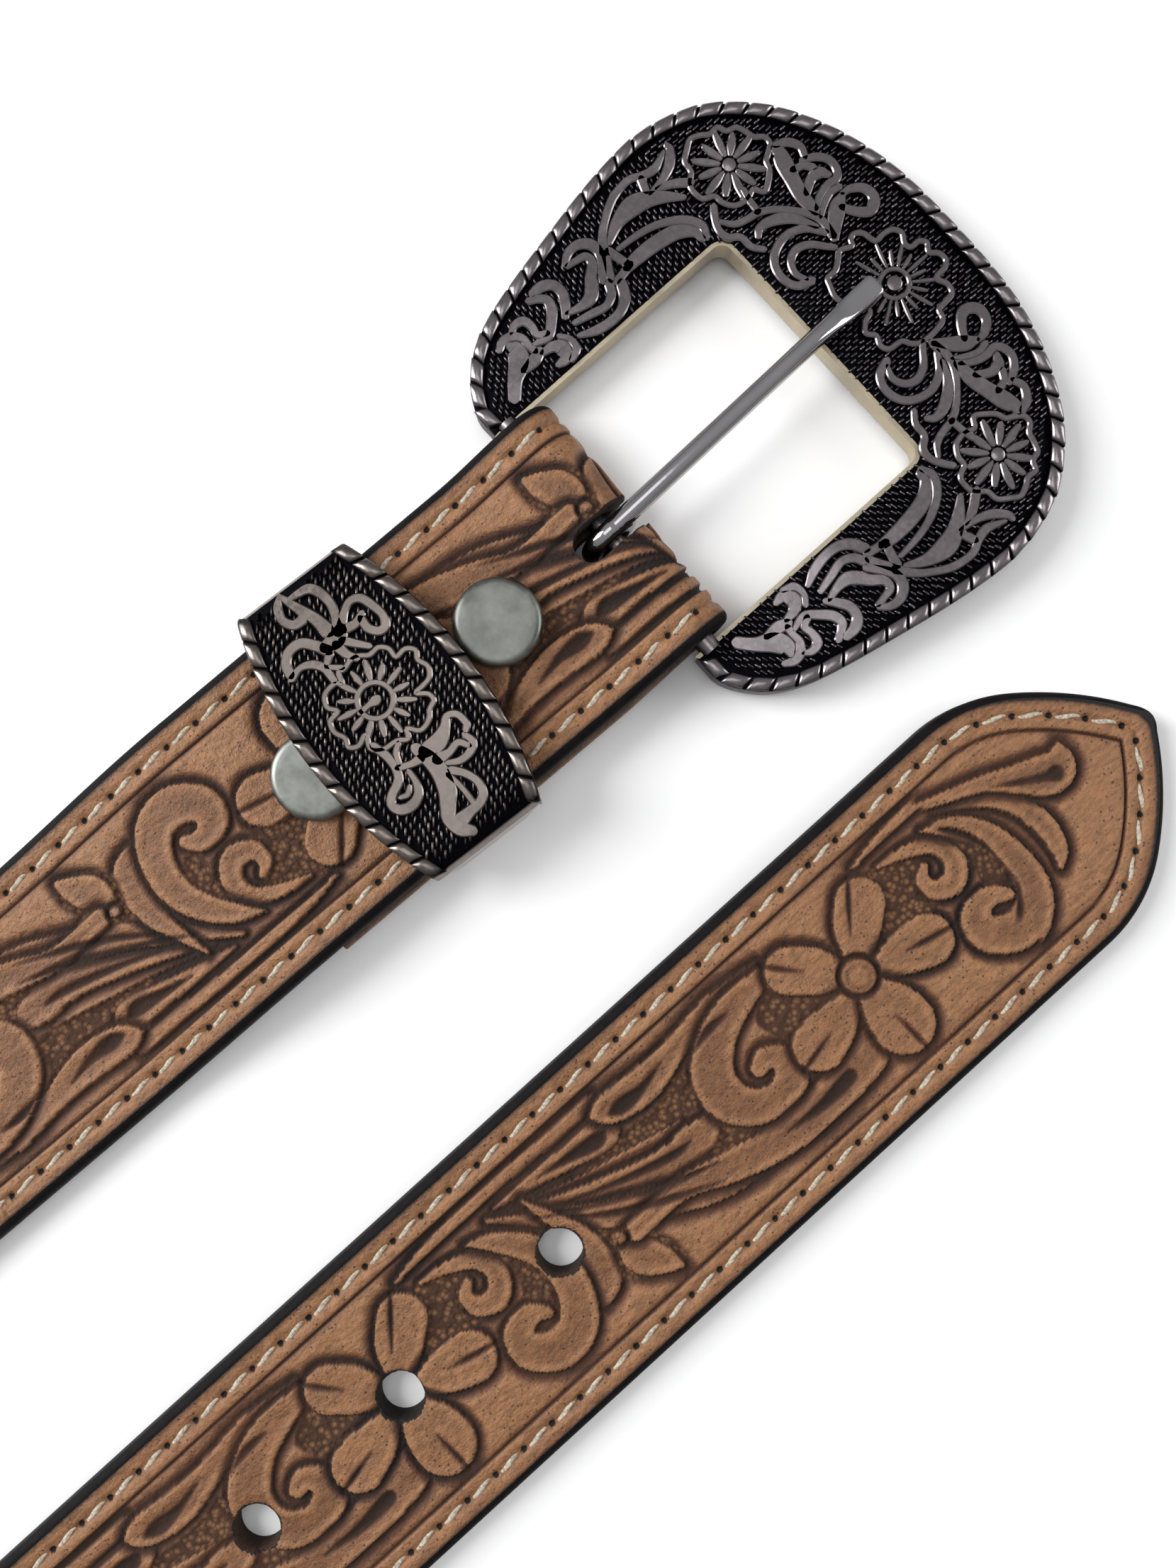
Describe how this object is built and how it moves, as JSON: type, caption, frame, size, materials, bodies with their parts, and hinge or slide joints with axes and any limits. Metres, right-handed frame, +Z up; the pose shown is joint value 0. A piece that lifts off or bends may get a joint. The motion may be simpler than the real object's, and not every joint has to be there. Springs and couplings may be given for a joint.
{
  "type": "western tooled belt",
  "caption": "Tooled leather belt lying in an open loop, with a D-shaped cast buckle and prong, a metal keeper, two snap caps and a pointed, punched tip.",
  "frame": {"origin": "middle of the belt's footprint, on the surface it lies on", "axes": "+X along the belt's two branches towards the buckle and the tip, +Y across them towards the buckle's branch, +Z up"},
  "size_m": [0.5584, 0.1228, 0.0377],
  "materials": {
    "leather": "vegetable-tanned, embossed floral scrolls with dark antique finish, black painted edges",
    "dark_nickel": "cast, antique black nickel with bright worn relief",
    "dark_chrome": "polished dark chrome",
    "aged_silver": "cast, antique silver with black recesses",
    "grey_nickel": "matt grey nickel"
  },
  "bodies": {
    "strap": {"strap": "leather", "snap_cap_1": "grey_nickel", "snap_cap_2": "grey_nickel", "snap_post_1": "grey_nickel", "snap_post_2": "grey_nickel"},
    "buckle": {"buckle_frame": "dark_nickel"},
    "tongue": {"prong": "dark_chrome"},
    "loop": {"keeper": "aged_silver"}
  },
  "joints": [
    {"name": "buckle_swing", "type": "hinge", "parent": "strap", "child": "buckle", "pos_m": [0.21647, 0.02317, 0.00465], "axis": [0, -1, 0], "range_deg": [0, 45]},
    {"name": "prong_swing", "type": "hinge", "parent": "buckle", "child": "tongue", "pos_m": [0.21647, 0.02317, 0.00465], "axis": [0, -1, 0], "range_deg": [0, 50]},
    {"name": "keeper_slide", "type": "slide", "parent": "strap", "child": "loop", "axis": [0.9996, -0.0279, 0], "range_m": [-0.003, 0.008]}
  ]
}
